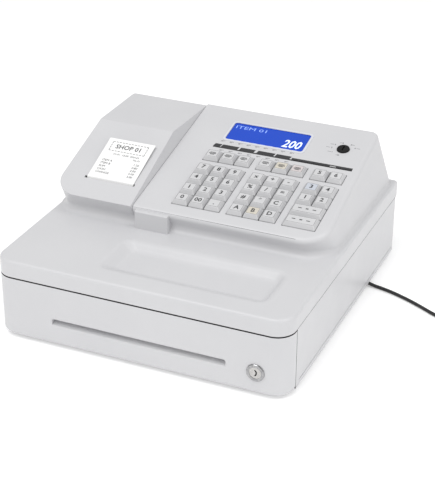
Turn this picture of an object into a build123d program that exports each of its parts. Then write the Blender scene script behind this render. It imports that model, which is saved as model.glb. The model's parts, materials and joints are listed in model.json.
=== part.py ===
from build123d import *
import math
import os

# Cash register, in millimetres. Origin: middle of the base on the counter. +X is the operator's
# right, +Y points to the rear and +Z up. The operator's side faces -Y.

# Overall sizes
WIDTH = 326.0
DEPTH = 345.0
CASE_BOTTOM = 4.5        # height of the case above the counter, set by the feet
SEAM_Z = 72.7            # top of the lower case
DECK_Z = 91.7            # top of the flat deck
WALL = 2.5               # wall of both case halves
SEAM_GAP = 0.3           # open joint between the two case halves

# Plan of the case
FRONT_CORNER_R = 20.0
REAR_CORNER_R = 4.5
DECK_EDGE_R = 3.5

# Console: the raised part with the key panel and the printer
LEFT_FOOT_X = -WIDTH / 2 + 1.7       # foot of the left wall on the deck
RIGHT_FOOT_X = WIDTH / 2 - 6.7       # foot of the right wall on the deck
FRONT_FOOT_Y = -39.9                 # foot of the front wall on the deck
REAR_FOOT_Y = DEPTH / 2 - 0.5        # foot of the rear wall on the deck
LEFT_DRAFT = 0.05        # walls lean inwards, in mm per mm of height
RIGHT_DRAFT = 0.183
REAR_DRAFT = 0.305
FRONT_LEAN = 0.555       # the front wall leans out over the deck
CONSOLE_FRONT_R = 28.0
CONSOLE_REAR_R = 10.0
CONSOLE_EDGE_R = 5.0
LOFT_TOP_Z = 170.0

# Key panel: a plane tilted towards the operator
PANEL_TILT = 12.0
PANEL_Y = 146.3          # a point of the plane at its rear edge
PANEL_Z = 156.3
PANEL_FRONT_Y = -52.0    # panel distances are counted up the slope from here

# Printer cover
SEAM_X = -63.5           # joint between printer cover and key panel
COVER_GAP = 0.4
COVER_WALL = 2.2
COVER_TOP_Z = 156.0
COVER_FOLD_Y = 62.0      # where the flat top turns into the slope
COVER_SLOPE = 19.2
COVER_FLANK = 10.0       # tilt of the flank beside the key panel
HINGE_Y = REAR_FOOT_Y - 27.0
HINGE_Z = 147.0
HINGE_R = COVER_TOP_Z - HINGE_Z
HINGE_PIN_R = 2.0
RUN_CLEARANCE = 0.05
LUG_R = 4.5
LUG_T = 5.0
SLOT_X0 = -133.5
SLOT_X1 = -73.0
SLOT_Y = -24.5
SLOT_WIDTH = 3.6

# Coin tray in the deck
TRAY_X0 = -56.0
TRAY_X1 = 127.0
TRAY_Y0 = -DEPTH / 2 + 25.5
TRAY_Y1 = -81.0
TRAY_DEPTH = 8.0
TRAY_RIM_R = 9.0
TRAY_FLOOR_R = 9.0

# Keys
KEY_PITCH_X = 18.5
KEY_PITCH_V = 18.9
KEY_WIDTH = 17.4
KEY_DEPTH = 17.8
KEY_HEIGHT = 4.6         # cap above the panel
KEY_SKIRT = 5.0          # cap below the panel
KEY_TOP_SIDE = 2.0       # the top face is smaller than the foot by this at each side
KEY_TOP_FRONT = 2.6
KEY_TOP_REAR = 3.0
KEY_GAP = 0.6            # round a block of keys
KEY_BLOCKS_X = (-25.0, 37.6, 100.2)
KEY_BLOCK_COLUMNS = (3, 3, 2)
KEY_ROW_1_V = 19.4       # front edge of the nearest row; the rear row stands apart
KEY_ROWS_V = (102.1, *(KEY_ROW_1_V + KEY_PITCH_V * i for i in (3, 2, 1, 0)))

# Operator display and mode switch, in panel distances
LCD_X0 = -17.2
LCD_X1 = 75.0
LCD_V0 = 145.6
LCD_V1 = 180.0
SWITCH_X = 116.9
SWITCH_V = 164.4
SWITCH_R = 7.0
SWITCH_HEIGHT = 1.8

# Drawer
DRAWER_TOP_Z = 71.6
DRAWER_BOTTOM_Z = 4.6
DRAWER_PANEL_REAR_Y = -DEPTH / 2 + FRONT_CORNER_R + 2.6
PANEL_WALL = 3.0
BOX_SIDE_GAP = 5.0       # between the drawer box and the case walls
BOX_Z0 = 14.5
BOX_Z1 = 66.0
BOX_WALL = 1.6
BOX_REAR_Y = DEPTH / 2 - 24.5
GROOVE_X = 97.0
GROOVE_Z0 = 27.0
GROOVE_Z1 = 34.0
GROOVE_DEPTH = 9.0
GROOVE_END_R = 2.4       # corners of the groove, seen from the front
GROOVE_MOUTH_R = 1.0     # rounding of its mouth
LOCK_X = 129.2
LOCK_Z = 28.2
LOCK_RING_R = 9.6
LOCK_BARREL_R = 8.0
LOCK_PLUG_R = 6.3
LOCK_LENGTH = 13.0
LOCK_PROUD = 1.4

# Till insert
TILL_GAP = 1.0
TILL_WALL = 1.6
TILL_HEIGHT = 44.0
NOTE_LENGTH = 172.0
NOTE_COLUMNS = 3
COIN_ROWS = 2
CLIP_ROD_R = 2.0

# Small parts
FOOT_R = 9.0
SCREW_R = 1.9
SCREW_HEAD_R = 3.6

# Paper and printer
PAPER_WIDTH = 56.0
PAPER_ROLL_R = 24.0
ROLL_Y = 82.0
ROLL_Z = 106.0
PAPER_X = -102.6
PLATEN_R = 6.0
PLATEN_Y = -14.0
PLATEN_Z = 102.0

# Cord
CORD_R = 1.9
CORD_EXIT_X = 130.0
CORD_Y = 84.0
CORD_EXIT_Z = 8.0
COIL_X = 302.0
COIL_Y = 22.0
COIL_INNER_R = 17.5
COIL_OUTER_R = 28.5
COIL_HEIGHT = 16.0
PLUG_LENGTH = 34.0

TAN_PANEL = math.tan(math.radians(PANEL_TILT))
COS_PANEL = math.cos(math.radians(PANEL_TILT))
SIN_PANEL = math.sin(math.radians(PANEL_TILT))

os.makedirs("parts", exist_ok=True)


def save(name, part):
    """Write one sub-part to its own file."""
    part.label = name
    export_step(part, f"parts/{name}.step")


def block(x0, x1, y0, y1, z0, z1):
    """A box given by its limits."""
    middle = ((x0 + x1) / 2, (y0 + y1) / 2, (z0 + z1) / 2)
    return Pos(*middle) * Box(x1 - x0, y1 - y0, z1 - z0)


def plan(x0, x1, y0, y1, radii):
    """A rectangle with its own radius at each corner: front left, front right, rear right, rear left."""
    face = Pos((x0 + x1) / 2, (y0 + y1) / 2) * Rectangle(x1 - x0, y1 - y0)
    corners = ((x0, y0), (x1, y0), (x1, y1), (x0, y1))
    for (x, y), radius in zip(corners, radii):
        if radius > 0:
            corner = face.vertices().sort_by_distance((x, y, 0))[0]
            face = fillet(corner, radius)
    return face


def prism(x0, x1, y0, y1, z0, z1, radii):
    """A plan extruded upwards."""
    return extrude(Pos(0, 0, z0) * plan(x0, x1, y0, y1, radii), amount=z1 - z0)


def profile(points, x0, x1):
    """A closed outline in Y and Z, extruded along X."""
    plane = Plane(origin=(x0, 0, 0), x_dir=(0, 1, 0), z_dir=(1, 0, 0))
    return extrude(plane * make_face(Polyline(*points, close=True)), amount=x1 - x0)


def rod_x(x0, x1, y, z, radius):
    """A cylinder along X."""
    return Pos((x0 + x1) / 2, y, z) * Rot(0, 90, 0) * Cylinder(radius, x1 - x0)


def rod_y(y0, y1, x, z, radius):
    """A cylinder along Y."""
    return Pos(x, (y0 + y1) / 2, z) * Rot(90, 0, 0) * Cylinder(radius, y1 - y0)


def rod_z(z0, z1, x, y, radius):
    """A cylinder along Z."""
    return Pos(x, y, (z0 + z1) / 2) * Cylinder(radius, z1 - z0)


def panel_z(y, drop=0.0):
    """Height of the key panel at y, or of a plane that lies drop below it."""
    return PANEL_Z + (y - PANEL_Y) * TAN_PANEL - drop / COS_PANEL


# Local frame of the key panel: X along the panel, Y up its slope, Z out of it.
PANEL = Plane(
    origin=(0, PANEL_FRONT_Y, panel_z(PANEL_FRONT_Y)),
    x_dir=(1, 0, 0),
    z_dir=(0, -SIN_PANEL, COS_PANEL),
)


def on_panel(part):
    """Place a part that was drawn in the panel's local frame."""
    return PANEL.location * part


def console(inset, z0, z1):
    """The console's outer walls, or the same walls moved inwards: four leaning planes, round corners."""
    rises = (z0 - DECK_Z, z1 - DECK_Z)
    front = [FRONT_FOOT_Y - FRONT_LEAN * rise + inset for rise in rises]
    rear = [REAR_FOOT_Y - REAR_DRAFT * rise - inset for rise in rises]
    left = [LEFT_FOOT_X + LEFT_DRAFT * rise + inset for rise in rises]
    right = [RIGHT_FOOT_X - RIGHT_DRAFT * rise - inset for rise in rises]
    along = profile([(front[0], z0), (front[1], z1), (rear[1], z1), (rear[0], z0)], -200, 200)
    outline = Polyline((left[0], z0), (left[1], z1), (right[1], z1), (right[0], z0), close=True)
    plane = Plane(origin=(0, 250, 0), x_dir=(1, 0, 0), z_dir=(0, -1, 0))
    across = extrude(plane * make_face(outline), amount=500)
    body = along & across
    uprights = [e for e in body.edges() if abs((e @ 0).Z - (e @ 1).Z) > 1]
    middle_y = (front[0] + rear[0]) / 2
    body = fillet([e for e in uprights if e.center().Y < middle_y], CONSOLE_FRONT_R - inset)
    uprights = [e for e in body.edges() if abs((e @ 0).Z - (e @ 1).Z) > 1 and e.center().Y > middle_y]
    corner_edges = [e for e in uprights if abs(e.center().Y - (rear[0] + rear[1]) / 2) < 1]
    return fillet(corner_edges, CONSOLE_REAR_R - inset)


def under_panel(drop, x0, x1):
    """Everything below the key panel's plane, or below a plane that lies drop under it."""
    front = -150.0
    rear = 200.0
    points = [(front, 0), (front, panel_z(front, drop)), (rear, panel_z(rear, drop)), (rear, 0)]
    return profile(points, x0, x1)


def cover_z(y):
    """Height of the printer cover's sloping face."""
    return COVER_TOP_Z - (COVER_FOLD_Y - y) * math.tan(math.radians(COVER_SLOPE))


def under_cover(drop, x0, x1):
    """Everything below the printer cover's outline, round at the hinge."""
    slope_drop = drop / math.cos(math.radians(COVER_SLOPE))
    fold_shift = drop * math.tan(math.radians(COVER_SLOPE / 2))
    radius = HINGE_R - drop
    front = -150.0
    edge = Polyline(
        (HINGE_Y + radius, HINGE_Z - 80),
        (front, HINGE_Z - 80),
        (front, cover_z(front) - slope_drop),
        (COVER_FOLD_Y + fold_shift, COVER_TOP_Z - drop),
        (HINGE_Y, COVER_TOP_Z - drop),
    )
    quarter = radius * math.sqrt(0.5)
    round_rear = ThreePointArc(
        (HINGE_Y, HINGE_Z + radius),
        (HINGE_Y + quarter, HINGE_Z + quarter),
        (HINGE_Y + radius, HINGE_Z),
    )
    closing = Line((HINGE_Y + radius, HINGE_Z), (HINGE_Y + radius, HINGE_Z - 80))
    outline = make_face(edge.edges() + round_rear.edges() + closing.edges())
    plane = Plane(origin=(x0, 0, 0), x_dir=(0, 1, 0), z_dir=(1, 0, 0))
    return extrude(plane * outline, amount=x1 - x0)


def edges_at(part, test):
    """The edges whose ends and middle all pass a test."""
    return [e for e in part.edges() if all(test(p) for p in (e @ 0, e @ 0.5, e @ 1))]


# Lower case: the sleeve that the drawer slides in, open at the front
case_front_y = -DEPTH / 2 + FRONT_CORNER_R + 3.0
rear_radii = (0, 0, REAR_CORNER_R, REAR_CORNER_R)
half_width = WIDTH / 2
rear_y = DEPTH / 2


def make_lower_case():
    body = prism(-half_width, half_width, case_front_y, rear_y, CASE_BOTTOM, SEAM_Z, rear_radii)
    inner = block(
        -half_width + WALL, half_width - WALL,
        case_front_y - 1, rear_y - WALL,
        CASE_BOTTOM + WALL, SEAM_Z - WALL,
    )
    body -= inner
    skirt_z = CASE_BOTTOM + 5.0
    for side in (-1, 1):
        edge = side * half_width
        groove = block(edge - 0.7, edge + 0.7, case_front_y + 9, rear_y - 8, skirt_z, skirt_z + 1.0)
        body -= groove
        rail_x = sorted((side * (half_width - WALL), side * (half_width - WALL - 3.4)))
        body += block(*rail_x, case_front_y + 10, BOX_REAR_Y, 34.0, 37.0)
    pocket_top = CORD_EXIT_Z + 4.0
    housing = block(
        CORD_EXIT_X - 2, half_width - WALL, CORD_Y - 8, CORD_Y + 8, CASE_BOTTOM, pocket_top + 1.6,
    )
    pocket = block(CORD_EXIT_X, half_width - WALL, CORD_Y - 6, CORD_Y + 6, CASE_BOTTOM - 1, pocket_top)
    body = body + housing - pocket
    body -= rod_x(CORD_EXIT_X - 3, CORD_EXIT_X + 1, CORD_Y, CORD_EXIT_Z, 3.2)
    for x, y in foot_places:
        body -= rod_z(CASE_BOTTOM - 1, CASE_BOTTOM + 1.2, x, y, FOOT_R + 0.05)
    for x, y in screw_places:
        body -= rod_z(CASE_BOTTOM - 1, CASE_BOTTOM + WALL + 1, x, y, SCREW_R + 0.1)
    return body


foot_places = [(x, y) for x in (-135, 135) for y in (-125, 145)]
screw_places = [(x, y) for x in (-150, 150) for y in (-105, 105)]


# Upper case: deck with the coin tray, and the console under the key panel
def make_upper_case():
    deck = prism(
        -half_width, half_width, -rear_y, rear_y, SEAM_Z + SEAM_GAP, DECK_Z,
        (FRONT_CORNER_R, FRONT_CORNER_R, 0, 0),
    )
    rim = [e for e in deck.edges() if abs(e.center().Z - DECK_Z) < 0.01 and e.center().Y < rear_y - 1]
    deck = fillet(rim, DECK_EDGE_R)
    body = console(0, DECK_Z - 1.5, LOFT_TOP_Z) & under_panel(0, SEAM_X, half_width)
    crown = [
        e for e in body.edges()
        if all(abs(v.Z - panel_z(v.Y)) < 0.01 for v in e.vertices()) and abs(e.center().X - SEAM_X) > 1
    ]
    body = fillet(crown, CONSOLE_EDGE_R)
    # Proud boss under the panel's left corner
    boss = block(SEAM_X + 4.5, SEAM_X + 43, -54.5, -30, DECK_Z - 1, 112.0)
    boss = fillet([e for e in boss.edges() if abs(e.center().Y + 54.5) < 0.01], 1.2)
    shell = deck + body + boss
    # Hollow inside
    inner_corner = FRONT_CORNER_R - WALL
    hollow = prism(
        -half_width + WALL, half_width - WALL, -rear_y + WALL, rear_y - WALL, SEAM_Z - 1, DECK_Z - WALL,
        (inner_corner, inner_corner, 0, 0),
    )
    inside = console(WALL, DECK_Z - WALL - 1, LOFT_TOP_Z) & under_panel(WALL, SEAM_X + WALL, half_width)
    shell = shell - hollow - inside
    # Coin tray
    tray_body = block(
        TRAY_X0 - 3, TRAY_X1 + 3, TRAY_Y0 - 3, TRAY_Y1 + 3, DECK_Z - TRAY_DEPTH - WALL, DECK_Z - WALL
    )
    rim_face = Pos(0, 0, DECK_Z) * plan(TRAY_X0, TRAY_X1, TRAY_Y0, TRAY_Y1, (10, 10, 10, 10))
    floor_face = Pos(0, 0, DECK_Z - TRAY_DEPTH) * plan(
        TRAY_X0 + 12, TRAY_X1 - 7, TRAY_Y0 + 16, TRAY_Y1 - 8, (7, 7, 7, 7)
    )
    shell = shell + tray_body - loft([rim_face.face(), floor_face.face()], ruled=True)
    tray_floor_z = DECK_Z - TRAY_DEPTH
    shell = fillet(edges_at(shell, lambda p: abs(p.Z - tray_floor_z) < 0.01), TRAY_FLOOR_R)
    tray_rim = edges_at(
        shell,
        lambda p: abs(p.Z - DECK_Z) < 0.01
        and TRAY_X0 - 1 < p.X < TRAY_X1 + 1
        and TRAY_Y0 - 1 < p.Y < TRAY_Y1 + 1,
    )
    shell = fillet(tray_rim, TRAY_RIM_R)
    # Printer bay, open upwards under the cover
    shell -= block(bay_x0, bay_x1, bay_y0, bay_y1, SEAM_Z - 1, 200)
    shell += make_bay_rear_wall()
    # Windows for the keys, the display and the switch
    for x, width, v, depth in key_windows():
        window = Pos(x + width / 2, v + depth / 2, 0) * Box(width, depth, 30)
        shell -= on_panel(window)
    lcd = Pos((LCD_X0 + LCD_X1) / 2, (LCD_V0 + LCD_V1) / 2, 0) * Box(LCD_X1 - LCD_X0, LCD_V1 - LCD_V0, 30)
    shell -= on_panel(lcd)
    shell -= on_panel(Pos(SWITCH_X, SWITCH_V, 0) * Cylinder(SWITCH_R + 0.3, 30))
    # Hinge lugs for the printer cover
    for x in lug_places:
        shell += make_lug(x)
    for x in lug_places:
        shell -= rod_x(x - LUG_T, x + LUG_T, HINGE_Y, HINGE_Z, HINGE_PIN_R + RUN_CLEARANCE)
    return shell


bay_x0 = LEFT_FOOT_X + 8
bay_x1 = SEAM_X - 4
bay_y0 = FRONT_FOOT_Y + 8
bay_y1 = REAR_FOOT_Y - 30
lug_places = (-145.0, -78.0)


def make_bay_rear_wall():
    """Rear wall of the console behind the printer, up to the hinge line."""
    top = HINGE_Z - 2.5
    outer = console(0, DECK_Z - 1.5, LOFT_TOP_Z) - console(WALL, DECK_Z - 3, LOFT_TOP_Z + 1)
    wall = outer & block(-half_width, SEAM_X + WALL, HINGE_Y + 2, rear_y, DECK_Z - 1.5, top)
    clearance = rod_x(-half_width, SEAM_X + WALL, HINGE_Y, HINGE_Z, HINGE_R + COVER_GAP)
    return wall - clearance


def make_lug(x):
    """One bearing of the cover's hinge, on a foot that leans forwards."""
    y_foot = HINGE_Y - 38
    points = [
        (HINGE_Y - LUG_R * 0.8, HINGE_Z + LUG_R * 0.6),
        (HINGE_Y + LUG_R * 0.8, HINGE_Z - LUG_R * 0.6),
        (y_foot + 22, DECK_Z - 12),
        (y_foot, DECK_Z - 12),
    ]
    foot = profile(points, x - LUG_T / 2, x + LUG_T / 2)
    tie = block(x - LUG_T / 2, x + LUG_T / 2, y_foot, bay_y1 + 2, DECK_Z - 12, DECK_Z - 0.5)
    return foot + tie + rod_x(x - LUG_T / 2, x + LUG_T / 2, HINGE_Y, HINGE_Z, LUG_R)


# Keys
def key_cells():
    """Name, left edge, front edge, width and depth of every key foot, row by row from the rear."""
    cells = []
    for row, v in enumerate(KEY_ROWS_V, start=1):
        column = 0
        for x0, count in zip(KEY_BLOCKS_X, KEY_BLOCK_COLUMNS):
            wide = row >= 4 and count == 2
            if wide:
                name = "key_subtotal" if row == 4 else "key_total"
                width = KEY_PITCH_X + KEY_WIDTH
                cells.append((name, x0, v, width, KEY_DEPTH))
                continue
            for i in range(count):
                column += 1
                cells.append((f"key_{row}_{column}", x0 + i * KEY_PITCH_X, v, KEY_WIDTH, KEY_DEPTH))
    return cells


def key_windows():
    """Left edge, width, front edge and depth of the panel windows: one for each block of keys."""
    windows = []
    for x0, count in zip(KEY_BLOCKS_X, KEY_BLOCK_COLUMNS):
        width = (count - 1) * KEY_PITCH_X + KEY_WIDTH + 2 * KEY_GAP
        for first, last in ((0, 0), (1, 4)):
            v0 = KEY_ROWS_V[last] - KEY_GAP
            v1 = KEY_ROWS_V[first] + KEY_DEPTH + KEY_GAP
            windows.append((x0 - KEY_GAP, width, v0, v1 - v0))
    return windows


def make_key(x0, v0, width, depth):
    """A key cap: straight skirt below the panel, sloping sides and a smaller top."""
    radii = (1.2, 1.2, 1.2, 1.2)
    foot = Pos(0, 0, -KEY_SKIRT) * plan(x0, x0 + width, v0, v0 + depth, radii)
    skirt = extrude(foot, amount=KEY_SKIRT + 0.6)
    low = Pos(0, 0, 0.6) * plan(x0, x0 + width, v0, v0 + depth, radii)
    high = Pos(0, 0, KEY_HEIGHT) * plan(
        x0 + KEY_TOP_SIDE, x0 + width - KEY_TOP_SIDE,
        v0 + KEY_TOP_FRONT, v0 + depth - KEY_TOP_REAR, radii,
    )
    cap = skirt + loft([low.face(), high.face()], ruled=True)
    cap = fillet([e for e in cap.edges() if abs(e.center().Z - KEY_HEIGHT) < 0.01], 0.6)
    inside = extrude(
        Pos(0, 0, -KEY_SKIRT - 1)
        * plan(x0 + 1.4, x0 + width - 1.4, v0 + 1.4, v0 + depth - 1.4, (0, 0, 0, 0)),
        amount=KEY_SKIRT + 1.2,
    )
    stem = Pos(x0 + width / 2, v0 + depth / 2, -KEY_SKIRT / 2 - 0.5) * Box(4, 4, KEY_SKIRT + 1)
    return on_panel(cap - inside + stem)


# Operator display and mode switch
def make_operator_display():
    """Display module: glass flush in its window, with the frame behind the panel."""
    x = (LCD_X0 + LCD_X1) / 2
    v = (LCD_V0 + LCD_V1) / 2
    width = LCD_X1 - LCD_X0
    depth = LCD_V1 - LCD_V0
    glass = Pos(x, v, -1.7) * Box(width - 0.4, depth - 0.4, 2.4)
    frame = Pos(x, v, -WALL - 3.1) * Box(width + 8, depth + 8, 6.0)
    return on_panel(glass + frame)


def make_mode_switch():
    """Round rotary knob with a key slot, on its spindle."""
    knob = Pos(0, 0, SWITCH_HEIGHT / 2 - 2.0) * Cylinder(SWITCH_R, SWITCH_HEIGHT + 4.0)
    knob = fillet([e for e in knob.edges() if abs(e.center().Z - SWITCH_HEIGHT) < 0.01], 0.8)
    knob -= Pos(0, 0, SWITCH_HEIGHT - 0.6) * Box(1.6, 8.0, 1.4)
    spindle = Pos(0, 0, -9.0) * Cylinder(3.0, 12.0)
    return on_panel(Pos(SWITCH_X, SWITCH_V, 0) * (knob + spindle))


# Printer cover
def flank_cut():
    """Space to the right of the cover: its flank leans away from the panel above the joint."""
    side = Pos(100, 0, 0) * Box(200, 600, 200)
    angle = Rot(PANEL_TILT, 0, 0) * Rot(0, -COVER_FLANK, 0)
    upper = Pos(SEAM_X - COVER_GAP, PANEL_Y, panel_z(PANEL_Y)) * angle * side
    lower = block(SEAM_X - COVER_GAP, 200, -300, 300, 0, 300)
    return upper, lower


def make_printer_cover():
    base_z = DECK_Z + COVER_GAP
    outer = console(0, base_z, LOFT_TOP_Z) & under_cover(0, -half_width, SEAM_X)
    for space in flank_cut():
        outer -= space
    inner = console(COVER_WALL, base_z - 2, LOFT_TOP_Z) & under_cover(
        COVER_WALL, -half_width, SEAM_X - 3.2
    )
    inner -= Pos(-COVER_WALL, 0, 0) * flank_cut()[0]
    cover = outer - inner
    cover -= block(-half_width - 1, SEAM_X + 1, HINGE_Y - 6.5, rear_y + 10, 0, HINGE_Z - 2.0)
    # Slot for the receipt
    angle = Rot(COVER_SLOPE, 0, 0)
    slot = Box(SLOT_X1 - SLOT_X0, SLOT_WIDTH, 30)
    cover -= Pos((SLOT_X0 + SLOT_X1) / 2, SLOT_Y, cover_z(SLOT_Y)) * angle * slot
    # Ears with the hinge pins
    for x in lug_places:
        ear_x = x - LUG_T / 2 - COVER_GAP - 3.0
        ear = block(ear_x, ear_x + 3.0, HINGE_Y - 5, HINGE_Y + 5, HINGE_Z - 5, HINGE_Z + 7.5)
        cover += ear + rod_x(ear_x, x + LUG_T / 2, HINGE_Y, HINGE_Z, HINGE_PIN_R)
    return cover


# Printer
def make_printer_mechanism():
    """Steel frame on the lower case, with the print head, two cheeks and the roll cradle."""
    z0 = SEAM_Z
    y0 = bay_y0 + 3
    frame = block(PAPER_X - 36, PAPER_X - 33, y0, 20, z0, 112)
    frame += block(PAPER_X + 31, PAPER_X + 34, y0, 20, z0, 112)
    frame += block(PAPER_X - 36, PAPER_X + 34, y0, 130, z0, z0 + 2)
    frame += block(PAPER_X - 33, PAPER_X + 31, 0, 8, z0 + 2, 108)
    hole = rod_x(PAPER_X - 40, PAPER_X + 40, PLATEN_Y, PLATEN_Z, 2.5 + RUN_CLEARANCE)
    frame -= hole
    for side in (-1, 1):
        cheek_x = PAPER_X - 1 + side * 33.5
        frame += block(cheek_x - 1.5, cheek_x + 1.5, 40, 120, z0 + 2, 116)
    cradle = block(PAPER_X - 36, PAPER_X + 34, ROLL_Y - 22, ROLL_Y + 22, z0 + 2, ROLL_Z - 14)
    return frame + cradle - rod_x(PAPER_X - 34, PAPER_X + 32, ROLL_Y, ROLL_Z, PAPER_ROLL_R + 0.1)


def make_platen_roller():
    """Rubber roller on its shaft, with a gear at the right end."""
    shaft = rod_x(PAPER_X - 38, PAPER_X + 35, PLATEN_Y, PLATEN_Z, 2.5)
    roller = rod_x(PAPER_X - 30, PAPER_X + 29, PLATEN_Y, PLATEN_Z, PLATEN_R)
    return shaft + roller


def make_paper_roll():
    """Roll of receipt paper lying in the cradle."""
    roll = rod_x(PAPER_X - 29, PAPER_X + 27, ROLL_Y, ROLL_Z, PAPER_ROLL_R)
    return roll - rod_x(PAPER_X - 40, PAPER_X + 40, ROLL_Y, ROLL_Z, 6.0)


def make_receipt_slip():
    """Printed slip standing out of the slot and lying back over the cover."""
    lift = math.radians(COVER_SLOPE + 2.5)
    length = 61.0
    thickness = 0.25
    slot_z = cover_z(SLOT_Y)
    sole = (SLOT_Y - 0.2, slot_z - 4.0)
    bend = (SLOT_Y + 0.4, slot_z + 0.7)
    top = (bend[0] + length * math.cos(lift), bend[1] + length * math.sin(lift))
    points = [
        sole,
        bend,
        top,
        (top[0] - 0.1, top[1] + thickness),
        (bend[0] - 0.2, bend[1] + thickness),
        (sole[0] - thickness, sole[1]),
    ]
    return profile(points, PAPER_X - PAPER_WIDTH / 2, PAPER_X + PAPER_WIDTH / 2)


# Electronics
def make_electronics():
    """Main board and transformer on the lower case, under the key panel."""
    board = block(-50, 120, -20, 120, SEAM_Z + 4, SEAM_Z + 5.6)
    posts = [rod_z(SEAM_Z, SEAM_Z + 4, x, y, 3) for x in (-45, 115) for y in (-15, 115)]
    core = block(10, 50, 132, 160, SEAM_Z, SEAM_Z + 30)
    coil = block(14, 46, 126, 166, SEAM_Z + 6, SEAM_Z + 24)
    chips = [block(x, x + 16, 40, 56, SEAM_Z + 5.6, SEAM_Z + 8) for x in (-20, 20, 60)]
    return Part() + [board] + posts + chips + [core + coil]


# Drawer
panel_front_y = -rear_y
panel_x = half_width
box_x = half_width - WALL - BOX_SIDE_GAP


def make_drawer_front():
    z0 = DRAWER_BOTTOM_Z
    z1 = DRAWER_TOP_Z
    corner_radii = (FRONT_CORNER_R, FRONT_CORNER_R, 0, 0)
    panel = prism(-panel_x, panel_x, panel_front_y, DRAWER_PANEL_REAR_Y, z0, z1, corner_radii)
    low_edge = [
        e for e in panel.edges()
        if abs(e.center().Z - z0) < 0.01 and e.center().Y < DRAWER_PANEL_REAR_Y - 1
    ]
    panel = fillet(low_edge, 4.0)
    inner_r = FRONT_CORNER_R - PANEL_WALL
    pocket = prism(
        -panel_x + PANEL_WALL, panel_x - PANEL_WALL, panel_front_y + PANEL_WALL, DRAWER_PANEL_REAR_Y + 1,
        z0 + PANEL_WALL, z1 - PANEL_WALL, (inner_r, inner_r, 0, 0),
    )
    panel -= pocket
    # Housing of the finger groove, and the groove itself
    panel += block(
        -GROOVE_X - 3, GROOVE_X + 3, panel_front_y + 1, panel_front_y + GROOVE_DEPTH + 2.5,
        GROOVE_Z0 - 3, GROOVE_Z1 + 3,
    )
    points = [
        (panel_front_y - 1, GROOVE_Z0 - 0.4),
        (panel_front_y - 1, GROOVE_Z1),
        (panel_front_y + GROOVE_DEPTH, GROOVE_Z1),
        (panel_front_y + GROOVE_DEPTH, GROOVE_Z0 + 3.0),
    ]
    groove = profile(points, -GROOVE_X, GROOVE_X)
    groove = fillet(groove.edges().filter_by(Axis.Y), GROOVE_END_R)
    panel -= groove
    mouth = [
        e for e in panel.edges()
        if abs(e.center().Y - panel_front_y) < 0.01
        and abs(e.center().X) < GROOVE_X + 1
        and GROOVE_Z0 - 1 < e.center().Z < GROOVE_Z1 + 1
    ]
    panel = fillet(mouth, GROOVE_MOUTH_R)
    panel -= rod_y(panel_front_y - 1, panel_front_y + 6, LOCK_X, LOCK_Z, LOCK_BARREL_R)
    return panel


def make_drawer_box():
    y0 = panel_front_y + GROOVE_DEPTH + 3.0
    outer = block(-box_x, box_x, y0, BOX_REAR_Y, BOX_Z0, BOX_Z1)
    inner = block(
        -box_x + BOX_WALL, box_x - BOX_WALL, y0 + BOX_WALL, BOX_REAR_Y - BOX_WALL,
        BOX_Z0 + BOX_WALL, BOX_Z1 + 1,
    )
    box = outer - inner
    # Runners over the rails of the case
    for side in (-1, 1):
        x0, x1 = sorted((side * box_x, side * (box_x + BOX_SIDE_GAP - 0.6)))
        box += block(x0, x1, case_front_y + 12, BOX_REAR_Y, 37.4, 39.4)
    box -= rod_y(y0 - 1, y0 + BOX_WALL + 1, LOCK_X, LOCK_Z, LOCK_BARREL_R + 0.2)
    return box


def make_lock_housing():
    ring = rod_y(panel_front_y - LOCK_PROUD, panel_front_y, LOCK_X, LOCK_Z, LOCK_RING_R)
    ring = chamfer([e for e in ring.edges() if abs(e.center().Y - panel_front_y + LOCK_PROUD) < 0.01], 0.6)
    barrel = rod_y(panel_front_y, panel_front_y + LOCK_LENGTH, LOCK_X, LOCK_Z, LOCK_BARREL_R)
    bore = rod_y(
        panel_front_y - 5, panel_front_y + LOCK_LENGTH - 2, LOCK_X, LOCK_Z, LOCK_PLUG_R + RUN_CLEARANCE
    )
    return ring + barrel - bore


def make_lock_plug():
    plug = rod_y(
        panel_front_y - LOCK_PROUD + 0.3, panel_front_y + LOCK_LENGTH - 2.5, LOCK_X, LOCK_Z, LOCK_PLUG_R,
    )
    keyhole = rod_y(panel_front_y - 3, panel_front_y + 8, LOCK_X - 3.0, LOCK_Z, 5.0)
    keyhole -= rod_y(panel_front_y - 3, panel_front_y + 8, LOCK_X - 3.0, LOCK_Z, 3.6)
    keyhole &= block(
        LOCK_X - 1, LOCK_X + 4, panel_front_y - 3, panel_front_y + 8, LOCK_Z - 3.4, LOCK_Z + 3.4
    )
    return plug - keyhole


# Till insert
till_x = box_x - BOX_WALL - TILL_GAP
till_y0 = panel_front_y + GROOVE_DEPTH + 3.0 + BOX_WALL + TILL_GAP
till_y1 = BOX_REAR_Y - BOX_WALL - TILL_GAP
till_z0 = BOX_Z0 + BOX_WALL
note_pitch = (2 * till_x - TILL_WALL) / NOTE_COLUMNS
coin_y1 = till_y1 - NOTE_LENGTH - 2 * TILL_WALL
coin_pitch_y = (coin_y1 - till_y0 - TILL_WALL) / COIN_ROWS


def till_cells():
    """Limits of the note and coin compartments: x0, x1, y0, y1, and whether it holds coins."""
    cells = []
    for i in range(NOTE_COLUMNS):
        x0 = -till_x + TILL_WALL + i * note_pitch
        x1 = x0 + note_pitch - TILL_WALL
        cells.append((x0, x1, till_y1 - TILL_WALL - NOTE_LENGTH, till_y1 - TILL_WALL, False))
        for j in range(COIN_ROWS):
            y0 = till_y0 + TILL_WALL + j * coin_pitch_y
            cells.append((x0, x1, y0, y0 + coin_pitch_y - TILL_WALL, True))
    return cells


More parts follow.
